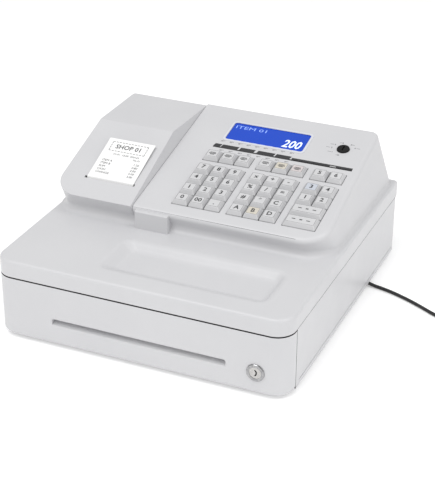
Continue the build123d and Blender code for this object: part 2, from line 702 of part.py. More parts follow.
def make_till_insert():
    tray = block(-till_x, till_x, till_y0, till_y1, till_z0, till_z0 + TILL_HEIGHT)
    for x0, x1, y0, y1, coins in till_cells():
        floor = till_z0 + (10.0 if coins else TILL_WALL)
        cell = block(x0, x1, y0, y1, floor, till_z0 + TILL_HEIGHT + 1)
        if coins:
            low = [e for e in cell.edges() if abs(e.center().Z - floor) < 0.01]
            cell = fillet(low, 9.0)
        tray -= cell
    # Bearings of the clip rod, on the side walls and on the dividers
    for i in range(NOTE_COLUMNS + 1):
        x = -till_x + TILL_WALL / 2 + i * note_pitch
        inward = TILL_WALL if i == 0 else -TILL_WALL if i == NOTE_COLUMNS else 0
        post = block(
            x + inward - 2.2, x + inward + 2.2, clip_y - 4.5, clip_y + 4.5,
            till_z0 + TILL_HEIGHT - 8, clip_z + 4.0,
        )
        tray += post
    return tray - rod_x(-till_x, till_x, clip_y, clip_z, CLIP_ROD_R + RUN_CLEARANCE)


clip_y = till_y1 - 8.0
clip_z = till_z0 + TILL_HEIGHT + 4.0
CLIP_REACH = 85.0
CLIP_PAD = 12.0
CLIP_DROP = 40.0
CLIP_WIDTH = 22.0
CLIP_T = 1.5


def make_bill_clips():
    """Three note clips on one hinge line across the rear of the till."""
    clips = rod_x(-till_x + TILL_WALL, till_x - TILL_WALL, clip_y, clip_z, CLIP_ROD_R)
    for i in range(NOTE_COLUMNS):
        middle = -till_x + TILL_WALL / 2 + (i + 0.5) * note_pitch
        points = [
            (clip_y, clip_z + CLIP_T / 2),
            (clip_y - CLIP_REACH, clip_z - CLIP_DROP + CLIP_T / 2),
            (clip_y - CLIP_REACH - CLIP_PAD, clip_z - CLIP_DROP + CLIP_T),
            (clip_y - CLIP_REACH - CLIP_PAD, clip_z - CLIP_DROP),
            (clip_y - CLIP_REACH, clip_z - CLIP_DROP - CLIP_T),
            (clip_y, clip_z - CLIP_T / 2 - 0.6),
        ]
        clips += profile(points, middle - CLIP_WIDTH / 2, middle + CLIP_WIDTH / 2)
    return clips


# Feet and screws
def make_rubber_feet():
    feet = [rod_z(0, CASE_BOTTOM + 1.2, x, y, FOOT_R) for x, y in foot_places]
    return Part() + feet


def make_screws():
    screws = []
    for x, y in screw_places:
        head = rod_z(CASE_BOTTOM - 1.4, CASE_BOTTOM, x, y, SCREW_HEAD_R)
        shank = rod_z(CASE_BOTTOM, CASE_BOTTOM + WALL + 3, x, y, SCREW_R)
        screws.append(head + shank)
    return Part() + screws


# Cord
def make_cord_gland():
    """Tapered strain relief in the pocket under the right edge."""
    anchor = rod_x(CORD_EXIT_X - 2, CORD_EXIT_X, CORD_Y, CORD_EXIT_Z, 3.1)
    flange = rod_x(CORD_EXIT_X, CORD_EXIT_X + 1.5, CORD_Y, CORD_EXIT_Z, 3.8)
    boot = Pos(CORD_EXIT_X + 10.75, CORD_Y, CORD_EXIT_Z) * Rot(0, 90, 0) * Cone(3.4, CORD_R + 0.5, 18.5)
    return anchor + flange + boot


CORD_POINTS = [
    (CORD_EXIT_X + 20.0, CORD_Y, CORD_EXIT_Z),
    (163.0, 83.5, 2.3),
    (185.0, 79.0, 2.0),
    (207.0, 70.5, 2.0),
    (229.0, 59.5, 2.0),
    (250.0, 47.0, 2.0),
    (270.0, 41.0, 2.0),
    (290.0, 44.5, 2.0),
]


def cord_radii(points):
    """The largest tangent arc that each corner's two runs allow."""
    vectors = [Vector(*p) for p in points]
    radii = []
    for before, corner, after in zip(vectors, vectors[1:], vectors[2:]):
        run_in = corner - before
        run_out = after - corner
        turn = math.radians(run_in.get_angle(run_out))
        shorter = min(run_in.length, run_out.length)
        radii.append(0.45 * shorter / math.tan(turn / 2))
    return radii


def make_power_cord():
    radii = cord_radii(CORD_POINTS)
    print("cord radii", [round(r, 1) for r in radii])
    path = FilletPolyline(*CORD_POINTS, radius=radii)
    start = Plane(origin=path @ 0, z_dir=path % 0)
    cord = sweep(start * Circle(CORD_R), path=path)
    print("cord volume", round(cord.volume), "section x length", round(math.pi * CORD_R**2 * path.length))
    return cord


def make_cord_coil():
    ring = rod_z(0, COIL_HEIGHT, COIL_X, COIL_Y, COIL_OUTER_R)
    return ring - rod_z(-1, COIL_HEIGHT + 1, COIL_X, COIL_Y, COIL_INNER_R)


def make_power_plug():
    """Two-blade plug lying beside the coil."""
    x0 = COIL_X + COIL_OUTER_R - 6
    y0 = COIL_Y - 6
    body = block(x0, x0 + 16, y0 - PLUG_LENGTH, y0 - 8, 0.2, 19.2)
    body = fillet(body.edges().filter_by(Axis.Y), 3.0)
    boot = rod_y(y0 - 8, y0, x0 + 8, 9.7, 3.4)
    blades = [
        block(x0 + 7.2, x0 + 8.8, y0 - PLUG_LENGTH - 17, y0 - PLUG_LENGTH, z - 3, z + 3) for z in (3.6, 15.8)
    ]
    return body + boot + blades


save("lower_case", make_lower_case())
save("upper_case", make_upper_case())
save("printer_cover", make_printer_cover())
save("printer_mechanism", make_printer_mechanism())
save("platen_roller", make_platen_roller())
save("paper_roll", make_paper_roll())
save("receipt_slip", make_receipt_slip())
save("operator_display", make_operator_display())
save("mode_switch", make_mode_switch())
save("electronics", make_electronics())
save("drawer_front", make_drawer_front())
save("drawer_box", make_drawer_box())
save("lock_housing", make_lock_housing())
save("lock_plug", make_lock_plug())
save("till_insert", make_till_insert())
save("bill_clips", make_bill_clips())
save("rubber_feet", make_rubber_feet())
save("screws", make_screws())
save("cord_gland", make_cord_gland())
save("power_cord", make_power_cord())
save("cord_coil", make_cord_coil())
save("power_plug", make_power_plug())
for key_name, key_x, key_v, key_width, key_depth in key_cells():
    save(key_name, make_key(key_x, key_v, key_width, key_depth))
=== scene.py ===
"""Countertop cash register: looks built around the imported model."""
import json
from math import cos, pi, radians, sin, tan

import bpy
from mathutils import Matrix, Vector


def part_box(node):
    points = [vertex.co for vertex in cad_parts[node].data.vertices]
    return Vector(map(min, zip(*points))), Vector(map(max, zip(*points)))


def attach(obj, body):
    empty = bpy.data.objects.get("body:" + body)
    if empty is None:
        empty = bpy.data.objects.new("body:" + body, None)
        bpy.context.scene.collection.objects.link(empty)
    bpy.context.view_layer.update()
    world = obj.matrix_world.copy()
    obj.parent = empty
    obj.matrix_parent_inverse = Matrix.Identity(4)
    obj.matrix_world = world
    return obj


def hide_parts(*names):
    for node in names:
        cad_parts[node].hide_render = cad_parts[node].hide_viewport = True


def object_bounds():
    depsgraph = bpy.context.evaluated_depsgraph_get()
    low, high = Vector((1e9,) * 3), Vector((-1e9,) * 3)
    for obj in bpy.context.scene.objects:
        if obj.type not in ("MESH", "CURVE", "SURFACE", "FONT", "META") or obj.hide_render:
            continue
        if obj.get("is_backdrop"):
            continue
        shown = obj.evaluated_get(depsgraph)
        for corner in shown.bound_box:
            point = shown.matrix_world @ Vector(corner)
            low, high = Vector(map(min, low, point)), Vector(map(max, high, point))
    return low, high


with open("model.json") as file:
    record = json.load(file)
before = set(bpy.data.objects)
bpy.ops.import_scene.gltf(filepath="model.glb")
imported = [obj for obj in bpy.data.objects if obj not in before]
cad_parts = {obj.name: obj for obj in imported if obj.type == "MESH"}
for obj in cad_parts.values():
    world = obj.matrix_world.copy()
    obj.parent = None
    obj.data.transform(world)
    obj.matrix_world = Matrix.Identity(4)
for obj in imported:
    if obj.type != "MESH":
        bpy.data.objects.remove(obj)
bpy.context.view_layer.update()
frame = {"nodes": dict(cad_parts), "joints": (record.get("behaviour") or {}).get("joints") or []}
body_low, body_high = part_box("upper_case")
joints = {joint["name"]: joint for joint in frame["joints"]}


# Studio: a pale table that runs out of view, an even white room and three large soft boxes.
# The camera stands to the front right, well above the register, with a long lens.
bpy.ops.object.select_all(action="DESELECT")
bpy.ops.mesh.primitive_plane_add(size=12, location=(0, 3, 0))
table_top = bpy.context.object
table_top.name = "table_top"
table_paint = bpy.data.materials.new("white_table")
table_paint.use_nodes = True
table_shader = table_paint.node_tree.nodes["Principled BSDF"]
table_shader.inputs["Base Color"].default_value = (0.93, 0.93, 0.93, 1)
table_shader.inputs["Roughness"].default_value = 0.9
table_shader.inputs["Specular IOR Level"].default_value = 0.1
table_shader.inputs["Emission Color"].default_value = (1, 1, 1, 1)
table_shader.inputs["Emission Strength"].default_value = 0.22
table_top.data.materials.append(table_paint)
table_top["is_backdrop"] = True

room = bpy.data.worlds.new("white_room")
room.use_nodes = True
room.node_tree.nodes["Background"].inputs["Color"].default_value = (1, 1, 1, 1)
room.node_tree.nodes["Background"].inputs["Strength"].default_value = 0.66
bpy.context.scene.world = room
bpy.context.scene.view_settings.view_transform = "Standard"

soft_boxes = (
    ("key_light", (-0.3, -0.9, 1.8), 1.2, 15.0),
    ("side_light", (1.9, -0.6, 0.7), 1.2, 3.0),
    ("top_light", (1.1, -0.1, 1.7), 0.7, 6.0),
)
for name, place, size, watts in soft_boxes:
    bpy.ops.object.light_add(type="AREA", location=place)
    lamp = bpy.context.object
    lamp.name = name
    lamp.data.size = size
    lamp.data.energy = watts
    lamp.rotation_euler = (Vector((0, 0, 0.05)) - Vector(place)).to_track_quat("-Z", "Y").to_euler()

stand = Matrix.Translation((0.5535, -1.2476, 0.7824))
aim = (
    Matrix.Rotation(radians(23.39), 4, "Z")
    @ Matrix.Rotation(radians(61.92), 4, "X")
    @ Matrix.Rotation(radians(0.22), 4, "Z")
)
bpy.ops.object.camera_add()
camera = bpy.context.object
camera.matrix_world = stand @ aim
camera.data.lens = 102.63
camera.data.sensor_width = 36
bpy.context.scene.camera = camera


# Case: two halves moulded in warm white ABS with a fine spark-eroded grain and uneven polish.
# The halves meet in an open seam and are held by screws from below.
def pattern(tree, kind, scale, *, detail=2.0, stretch=(1, 1, 1)):
    """A noise or voronoi pattern on the piece's own place, scale in repeats per metre."""
    nodes, links = tree.nodes, tree.links
    place = nodes.new("ShaderNodeTexCoord")
    mapping = nodes.new("ShaderNodeMapping")
    mapping.inputs["Scale"].default_value = stretch
    links.new(place.outputs["Object"], mapping.inputs["Vector"])
    texture = nodes.new(kind)
    links.new(mapping.outputs["Vector"], texture.inputs["Vector"])
    texture.inputs["Scale"].default_value = scale
    if kind == "ShaderNodeTexNoise":
        texture.inputs["Detail"].default_value = detail
        return texture.outputs["Fac"]
    return texture.outputs["Distance"]


def spread(tree, signal, low, high, start=0.3, end=0.7):
    """Turns a pattern into values or colours between low and high."""
    nodes, links = tree.nodes, tree.links
    if isinstance(low, tuple):
        ramp = nodes.new("ShaderNodeValToRGB")
        ramp.color_ramp.elements[0].position = start
        ramp.color_ramp.elements[1].position = end
        ramp.color_ramp.elements[0].color = (*low, 1)
        ramp.color_ramp.elements[1].color = (*high, 1)
        links.new(signal, ramp.inputs["Fac"])
        return ramp.outputs["Color"]
    span = nodes.new("ShaderNodeMapRange")
    span.inputs["From Min"].default_value = start
    span.inputs["From Max"].default_value = end
    span.inputs["To Min"].default_value = low
    span.inputs["To Max"].default_value = high
    links.new(signal, span.inputs["Value"])
    return span.outputs["Result"]


def roughen(tree, signal, depth):
    """Gives the surface relief of that depth in metres."""
    bump = tree.nodes.new("ShaderNodeBump")
    bump.inputs["Strength"].default_value = 0.5
    bump.inputs["Distance"].default_value = depth
    tree.links.new(signal, bump.inputs["Height"])
    tree.links.new(bump.outputs["Normal"], tree.nodes["Principled BSDF"].inputs["Normal"])


def moulded_plastic(name, colour, shade, roughness, *, grain=2600, depth=0.00003):
    """Moulded plastic: faint clouds in the colour, fine grain, uneven polish."""
    material = bpy.data.materials.new(name)
    material.use_nodes = True
    tree = material.node_tree
    shader = tree.nodes["Principled BSDF"]
    clouds = pattern(tree, "ShaderNodeTexNoise", 14, detail=4)
    tree.links.new(spread(tree, clouds, shade, colour), shader.inputs["Base Color"])
    polish = pattern(tree, "ShaderNodeTexNoise", 60, detail=3)
    tree.links.new(
        spread(tree, polish, roughness - 0.04, roughness + 0.04), shader.inputs["Roughness"]
    )
    roughen(tree, pattern(tree, "ShaderNodeTexNoise", grain, detail=2), depth)
    shader.inputs["IOR"].default_value = 1.5
    return material


def paint_seam_shadow(material, axis, places, half_width):
    """Paints shade into open joints: thin dark bands across one axis, at these distances, a painted
    shadow standing in for the shade inside the gap.
    """
    tree = material.node_tree
    nodes, links = tree.nodes, tree.links
    shader = nodes["Principled BSDF"]
    place = nodes.new("ShaderNodeTexCoord")
    split = nodes.new("ShaderNodeSeparateXYZ")
    links.new(place.outputs["Object"], split.inputs["Vector"])
    for distance in places:
        band = nodes.new("ShaderNodeMath")
        band.operation = "COMPARE"
        band.inputs[1].default_value = distance
        band.inputs[2].default_value = half_width
        links.new(split.outputs[axis], band.inputs[0])
        shade = nodes.new("ShaderNodeMixRGB")
        links.new(band.outputs["Value"], shade.inputs["Fac"])
        links.new(shader.inputs["Base Color"].links[0].from_socket, shade.inputs["Color1"])
        # Painted shadow colour: the near black that the seam bands take.
        shade.inputs["Color2"].default_value = (0.03, 0.03, 0.032, 1)
        links.new(shade.outputs["Color"], shader.inputs["Base Color"])
    return material


def finish_nodes(material, *nodes):
    """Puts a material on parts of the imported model."""
    for node in nodes:
        frame["nodes"][node].data.materials.clear()
        frame["nodes"][node].data.materials.append(material)


def case_white(name):
    return moulded_plastic(name, (0.625, 0.625, 0.638), (0.605, 0.605, 0.62), 0.38)


case_plastic = case_white("case_plastic")
finish_nodes(case_plastic, "printer_cover")
drawer_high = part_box("drawer_front")[1]
lower_low, lower_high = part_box("lower_case")
# Painted shade: dark bands on the case halves and the drawer front where their open seams fall in shadow.
upper_plastic = paint_seam_shadow(case_white("upper_case_plastic"), "Z", [body_low.z], 0.00012)
finish_nodes(upper_plastic, "upper_case")
lower_plastic = paint_seam_shadow(case_white("lower_case_plastic"), "Z", [lower_high.z], 0.0002)
paint_seam_shadow(lower_plastic, "Y", [lower_low.y], 0.0004)
finish_nodes(lower_plastic, "lower_case")
front_plastic = paint_seam_shadow(case_white("drawer_front_plastic"), "Z", [drawer_high.z], 0.0001)
paint_seam_shadow(front_plastic, "Y", [drawer_high.y], 0.0003)
finish_nodes(front_plastic, "drawer_front")


# Foot of the console: the wall runs into the deck in a hollow curve, wide in front where the
# wall leans over the deck and tight at the right side. Part of the upper case moulding.
def wall_at(place, inwards):
    """Where a level line from outside meets the console's wall."""
    hits = []
    for node in ("upper_case", "printer_cover"):
        hit, point, _, _ = frame["nodes"][node].ray_cast(place, inwards)
        if hit:
            hits.append(point.copy())
    return min(hits, key=lambda point: (point - place).length)


cover_low, cover_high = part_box("printer_cover")
deck_z = cover_low.z - 0.0004
boss_left, boss_right = -0.062, -0.018
wall_front, wall_right = -0.0399, 0.1563
route_r = 0.028
route_left, route_right = cover_low.x + route_r, wall_right - route_r
route_front, route_rear = wall_front + route_r, body_high.y - 0.012
foot_route = [(route_left, route_front, 180 + 7.5 * step) for step in range(1, 13)]
front_steps = 40
for step in range(1, front_steps):
    x = route_left + (route_right - route_left) * step / front_steps
    if not boss_left < x < boss_right:
        foot_route.append((x, route_front, 270))
foot_route += [(route_right, route_front, 270 + 7.5 * step) for step in range(13)]
side_steps = 24
foot_route += [
    (route_right, route_front + (route_rear - route_front) * step / side_steps, 360)
    for step in range(1, side_steps + 1)
]
arc_steps = 8
ring_size = arc_steps + 2
low_look, high_look = 0.003, 0.010
corners, faces = [], []
for x, y, turn in foot_route:
    outwards = Vector((cos(radians(turn)), sin(radians(turn)), 0))
    middle = Vector((x, y, 0))
    outside = middle + outwards * 0.075
    low_hit = wall_at(outside + Vector((0, 0, deck_z + low_look)), -outwards)
    high_hit = wall_at(outside + Vector((0, 0, deck_z + high_look)), -outwards)
    wall = (high_hit - low_hit).normalized()
    foot = low_hit - wall * (low_look / wall.z)
    opening = wall.angle(outwards)
    front_share = max(0.0, -outwards.y) ** 0.7
    curve_r = 0.0034 + 0.0036 * front_share
    if turn < 270:
        curve_r = 0.0007 + 0.0063 * front_share
    run = curve_r / tan(opening / 2)
    centre = foot + (outwards + wall).normalized() * (curve_r / sin(opening / 2))
    start = (foot + outwards * run - centre).normalized()
    end = (foot + wall * run - centre).normalized()
    for step in range(arc_steps + 1):
        point = centre + start.slerp(end, step / arc_steps) * curve_r
        corners.append(point)
    corners.append(foot - (outwards + wall).normalized() * 0.0006)
for ring in range(len(foot_route) - 1):
    for side in range(ring_size):
        a, b = ring * ring_size + side, ring * ring_size + (side + 1) % ring_size
        faces.append((a, b, b + ring_size, a + ring_size))
faces.append(tuple(range(ring_size)))
faces.append(tuple(len(corners) - 1 - k for k in range(ring_size)))
foot_mesh = bpy.data.meshes.new("foot_blend")
foot_mesh.from_pydata(corners, [], faces)
foot_blend = bpy.data.objects.new("foot_blend", foot_mesh)
bpy.context.scene.collection.objects.link(foot_blend)


def tidy_mesh(piece, angle=35):
    """Faces outwards, smooth except at sharp edges."""
    bpy.ops.object.select_all(action="DESELECT")
    bpy.context.view_layer.objects.active = piece
    piece.select_set(True)
    bpy.ops.object.mode_set(mode="EDIT")
    bpy.ops.mesh.select_all(action="SELECT")
    bpy.ops.mesh.normals_make_consistent(inside=False)
    bpy.ops.object.mode_set(mode="OBJECT")
    bpy.ops.object.shade_smooth_by_angle(angle=radians(angle))


tidy_mesh(foot_blend)
foot_mesh.materials.append(case_plastic)
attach(foot_blend, "case")


# Feet: soft black rubber discs pressed into the base, a little dusty. Screws: zinc-plated steel.
foot_rubber = moulded_plastic("foot_rubber", (0.06, 0.06, 0.06), (0.035, 0.035, 0.035), 0.75, grain=900)
finish_nodes(foot_rubber, "rubber_feet")


def bare_metal(name, colour, shade, roughness, *, stretch=(1, 1, 30), metallic=1.0):
    """Metal with drawn-out brush lines and clouded polish."""
    material = bpy.data.materials.new(name)
    material.use_nodes = True
    tree = material.node_tree
    shader = tree.nodes["Principled BSDF"]
    shader.inputs["Metallic"].default_value = metallic
    lines = pattern(tree, "ShaderNodeTexNoise", 400, detail=5, stretch=stretch)
    tree.links.new(spread(tree, lines, shade, colour), shader.inputs["Base Color"])
    clouds = pattern(tree, "ShaderNodeTexNoise", 45, detail=3)
    tree.links.new(
        spread(tree, clouds, roughness - 0.06, roughness + 0.08), shader.inputs["Roughness"]
    )
    roughen(tree, lines, 0.00001)
    return material


zinc = bare_metal("zinc_plate", (0.62, 0.62, 0.60), (0.45, 0.46, 0.47), 0.38)
finish_nodes(zinc, "screws", "printer_mechanism")


# Drawer: a sheet steel box, powder coated, behind the moulded front.
# The till insert is one grey moulding with three note bays and six coin cups.
coated_steel = moulded_plastic(
    "coated_steel", (0.55, 0.56, 0.57), (0.50, 0.51, 0.52), 0.5, grain=1400, depth=0.00006
)
finish_nodes(coated_steel, "drawer_box")
till_plastic = moulded_plastic("till_plastic", (0.10, 0.105, 0.11), (0.08, 0.085, 0.09), 0.55)
finish_nodes(till_plastic, "till_insert")
clip_steel = bare_metal("clip_steel", (0.72, 0.72, 0.72), (0.58, 0.58, 0.59), 0.3, stretch=(1, 30, 1))
finish_nodes(clip_steel, "bill_clips")


# Lock: a chrome ring round a turned steel barrel with a narrow key slot.
chrome = bare_metal("chrome_ring", (0.42, 0.42, 0.42), (0.28, 0.28, 0.29), 0.16, stretch=(1, 30, 1))
finish_nodes(chrome, "lock_housing")
turned_steel = bare_metal("turned_steel", (0.60, 0.59, 0.57), (0.42, 0.41, 0.40), 0.3)
finish_nodes(turned_steel, "lock_plug")


# Printer: rubber platen, roll of thermal paper and the slip that hangs out of the slot.
platen_rubber = moulded_plastic("platen_rubber", (0.05, 0.05, 0.05), (0.03, 0.03, 0.03), 0.6, grain=1500)
finish_nodes(platen_rubber, "platen_roller")
paper = moulded_plastic(
    "receipt_paper", (0.93, 0.93, 0.92), (0.90, 0.90, 0.90), 0.6, grain=3500, depth=0.00001
)
finish_nodes(paper, "paper_roll", "receipt_slip")


# Circuit boards and transformer, out of sight inside the case.
board_green = moulded_plastic("circuit_board", (0.03, 0.16, 0.06), (0.02, 0.12, 0.05), 0.35, grain=700)
finish_nodes(board_green, "electronics")


# Display: blue backlit glass with pale characters, framed by a thin raised rim in the panel.
# The characters lie on the front of the glass, a little below the panel.
tilt = radians(12)
switch_up = 0.1644
switch_place = Vector(joints["mode_turn"]["pos_m"])
panel = (
    Matrix.Translation((0, switch_place.y, switch_place.z))
    @ Matrix.Rotation(tilt, 4, "X")
    @ Matrix.Translation((0, -switch_up, 0))
)


def on_panel(x, up, height=0.0):
    """A place on the key panel: across, up the slope from the front edge, and above it."""
    return panel @ Matrix.Translation((x, up, height))


def panel_box(node):
    """Lowest and highest corner of a part in panel distances."""
    places = [panel.inverted() @ vertex.co for vertex in frame["nodes"][node].data.vertices]
    return [
        Vector((pick(p.x for p in places), pick(p.y for p in places), pick(p.z for p in places)))
        for pick in (min, max)
    ]


def settle(piece, place):
    """Lays a new piece at its place and leaves its object at the origin."""
    piece.data.transform(place)
    piece.matrix_world = Matrix.Identity(4)
    return piece


def lettering(words, size, place, *, width=1.0, slant=0.0, weight=0.0, align="CENTER"):
    """A line of printed characters, a film of ink thick."""
    bpy.ops.object.select_all(action="DESELECT")
    bpy.ops.object.text_add()
    line = bpy.context.object
    line.data.body = words
    line.data.size = size
    line.data.align_x = align
    line.data.align_y = "CENTER"
    line.data.shear = slant
    line.data.offset = weight
    line.data.resolution_u = 2
    line.data.extrude = 0.00002
    bpy.ops.object.convert(target="MESH")
    line = bpy.context.object
    return settle(line, place @ Matrix.Diagonal((width, 1, 1, 1)))


def patch(width, depth, place, *, lean=0.0, thick=0.00004):
    """A printed bar; lean slides its far edge sideways."""
    bpy.ops.object.select_all(action="DESELECT")
    bpy.ops.mesh.primitive_cube_add(size=1)
    bar = bpy.context.object
    bar.data.transform(Matrix.Diagonal((width, depth, thick, 1)))
    for vertex in bar.data.vertices:
        if vertex.co.y > 0:
            vertex.co.x += lean
    return settle(bar, place)


def round_plate(width, depth, corner, place, *, thick=0.00004, edge=0.0):
    """A flat plate with rounded corners and, if asked, rounded edges."""
    bpy.ops.object.select_all(action="DESELECT")
    bpy.ops.mesh.primitive_cube_add(size=1)
    plate = bpy.context.object
    plate.data.transform(Matrix.Diagonal((width, depth, thick, 1)))
    bpy.ops.object.mode_set(mode="EDIT")
    bpy.ops.mesh.select_mode(type="EDGE")
    bpy.ops.mesh.select_all(action="DESELECT")
    bpy.ops.object.mode_set(mode="OBJECT")
    for line in plate.data.edges:
        ends = [plate.data.vertices[k].co for k in line.vertices]
        line.select = abs(ends[0].z - ends[1].z) > thick / 2
    bpy.ops.object.mode_set(mode="EDIT")
    bpy.ops.mesh.bevel(offset=corner, segments=5)
    bpy.ops.object.mode_set(mode="OBJECT")
    if edge:
        soft = plate.modifiers.new("edge", "BEVEL")
        soft.width = edge
        soft.segments = 2
        soft.limit_method = "ANGLE"
        soft.angle_limit = radians(60)
        bpy.ops.object.modifier_apply(modifier="edge")
    return settle(plate, place)


def frame_of(width, depth, corner, line, place, *, thick=0.0004, inner_corner=0.0003, edge=0.0):
    """A rounded frame: a plate with its middle cut away."""
    outer = round_plate(width, depth, corner, Matrix.Identity(4), thick=thick, edge=edge)
    inner = round_plate(
        width - 2 * line, depth - 2 * line, inner_corner, Matrix.Identity(4), thick=3 * thick
    )
    cut = outer.modifiers.new("middle", "BOOLEAN")
    cut.object = inner
    cut.operation = "DIFFERENCE"
    bpy.context.view_layer.objects.active = outer
    bpy.ops.object.modifier_apply(modifier="middle")
    bpy.data.objects.remove(inner)
    return settle(outer, place)


def joined(name, pieces, *materials):
    """Joins printed pieces, given as (piece, material number), into one."""
    bpy.ops.object.select_all(action="DESELECT")
    for piece, number in pieces:
        piece.data.materials.clear()
        for material in materials:
            piece.data.materials.append(material)
        for face in piece.data.polygons:
            face.material_index = number
        piece.select_set(True)
    whole = pieces[0][0]
    bpy.context.view_layer.objects.active = whole
    bpy.ops.object.join()
    whole.name = name
    return whole


def lit(name, colour, shade, glow, roughness=0.12):
    """Backlit plastic: an even glow across the face, over faint clouds in the colour."""
    material = moulded_plastic(name, colour, shade, roughness, depth=0.000002)
    shader = material.node_tree.nodes["Principled BSDF"]
    shader.inputs["Emission Color"].default_value = (*colour, 1)
    shader.inputs["Emission Strength"].default_value = glow
    return material


display_blue = lit("display_blue", (0.010, 0.066, 0.52), (0.008, 0.056, 0.47), 0.12)
display_blue.node_tree.nodes["Principled BSDF"].inputs["Specular IOR Level"].default_value = 0.25
finish_nodes(display_blue, "operator_display")
glow_white = lit("glow_white", (0.80, 0.88, 1.0), (0.72, 0.82, 1.0), 0.35)
glow_pale = lit("glow_pale", (0.30, 0.46, 0.98), (0.26, 0.42, 0.95), 0.2)
glass_top = -0.00046
sum_place = on_panel(0.0590, 0.1570, glass_top)
item_place = on_panel(-0.0146, 0.1725, glass_top)
display_lines = [
    (lettering("200", 0.0196, sum_place, width=0.72, slant=0.15, weight=0.00035), 0),
    (lettering("ITEM 01", 0.0078, item_place, width=1.5, align="LEFT"), 1),
]
for step in range(9):
    display_lines.append((patch(0.0052, 0.0004, on_panel(-0.010 + 0.0095 * step, 0.1476, glass_top)), 1))
display_print = joined("display_characters", display_lines, glow_white, glow_pale)
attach(display_print, "case")

display_rim = frame_of(
    0.0975, 0.0386, 0.0045, 0.0026, on_panel(0.02890, 0.1628, 0.0002),
    thick=0.0008, inner_corner=0.0030, edge=0.0003,
)
display_rim.name = "display_rim"
rim_plastic = moulded_plastic("rim_plastic", (0.70, 0.71, 0.75), (0.66, 0.67, 0.71), 0.2)
display_rim.data.materials.append(rim_plastic)
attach(display_rim, "case")


# Front edge of the panel: a dark strip laid as the painted shadow in the fine open line where the panel
# sheet meets the moulded skirt, from the printer cover to the right front corner.
bpy.ops.object.select_all(action="DESELECT")
bpy.ops.mesh.primitive_grid_add(x_subdivisions=120, y_subdivisions=1, size=1)
panel_line = bpy.context.object
panel_line.name = "panel_line"
line_left, line_right = cover_high.x + 0.0008, 0.1215
panel_line.data.transform(Matrix.Diagonal((line_right - line_left, 0.0005, 1, 1)))
settle(panel_line, on_panel((line_left + line_right) / 2, 0.0012, 0.0012))
hold = panel_line.modifiers.new("hold", "SHRINKWRAP")
hold.target = frame["nodes"]["upper_case"]
hold.wrap_method = "NEAREST_SURFACEPOINT"
hold.offset = 0.00004
bpy.ops.object.modifier_apply(modifier="hold")
body_of_line = panel_line.modifiers.new("body", "SOLIDIFY")
body_of_line.thickness = 0.00006
bpy.ops.object.modifier_apply(modifier="body")
# Painted shadow: the strip's dark grey stands in for the shade under the panel sheet's front edge.
painted_line_shadow = moulded_plastic("painted_line_shadow", (0.16, 0.16, 0.165), (0.11, 0.11, 0.115), 0.7)
panel_line.data.materials.append(painted_line_shadow)
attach(panel_line, "case")


# Legend strip: dark grey print above the keys with five tabs, and rows of small grey marks.
# It is screen printed on the panel.
ink_dark = moulded_plastic("ink_dark", (0.035, 0.035, 0.038), (0.028, 0.028, 0.030), 0.5)
ink_grey = moulded_plastic("ink_grey", (0.22, 0.22, 0.23), (0.16, 0.16, 0.17), 0.5)
ink_pale = moulded_plastic("ink_pale", (0.60, 0.60, 0.61), (0.52, 0.52, 0.53), 0.5)
film = 0.00003
strip_low, strip_high = 0.1283, 0.1336
strip = [
    (patch(0.1630, 0.0022, on_panel(0.0572, strip_low + 0.0011, film)), 0),
    (patch(0.0701, strip_high - strip_low, on_panel(0.10365, (strip_low + strip_high) / 2, film)), 0),
]
tab_edges_mm = ((-24.6, -16.4), (-15.4, 4.3), (6.4, 23.9), (27.1, 47.4), (48.9, 66.4))
for left, right in tab_edges_mm:
    width = (right - left) / 1000
    middle = (left + right) / 2000
    strip.append((patch(width, 0.0052, on_panel(middle, 0.1328, 2 * film), lean=0.0012), 0))
for step in range(7):
    strip.append((patch(0.0009, 0.0014, on_panel(0.1135 + 0.001 * step, 0.1309, 3 * film)), 2))
mark_rows = ((0.1421, 9, -0.017, 0.065), (0.1252, 8, -0.012, 0.065))
for row_up, count, left, right in mark_rows:
    for step in range(count):
        x = left + (right - left) * step / (count - 1)
        strip.append((patch(0.0048, 0.0007, on_panel(x, row_up, film)), 1))
        strip.append((patch(0.0026, 0.0006, on_panel(x - 0.001, row_up - 0.0012, film)), 1))
legend_strip = joined("legend_strip", strip, ink_dark, ink_grey, ink_pale)
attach(legend_strip, "case")


# Mode switch: black knob with a key slot. Small grey digits, each with a bar, stand round it.
black_plastic = moulded_plastic("black_plastic", (0.007, 0.007, 0.007), (0.004, 0.004, 0.004), 0.45)
black_plastic.node_tree.nodes["Principled BSDF"].inputs["Specular IOR Level"].default_value = 0.25
finish_nodes(black_plastic, "mode_switch", "power_plug", "cord_gland")
mode_marks = []
modes = ((-99, "0"), (-140, "1"), (180, "2"), (147, "3"), (108, "4"), (65, "5"), (29, "6"))
for angle, mode in modes:
    x = switch_place.x + 0.0135 * cos(radians(angle))
    up = switch_up + 0.0118 * sin(radians(angle))
    mode_marks.append((lettering(mode, 0.0032, on_panel(x, up, film), weight=0.00006), 0))
    outer_x = x + 0.0042 * cos(radians(angle))
    mode_marks.append((patch(0.0042, 0.0005, on_panel(outer_x, up, film)), 0))
mode_print = joined("mode_marks", mode_marks, ink_grey)
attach(mode_print, "case")


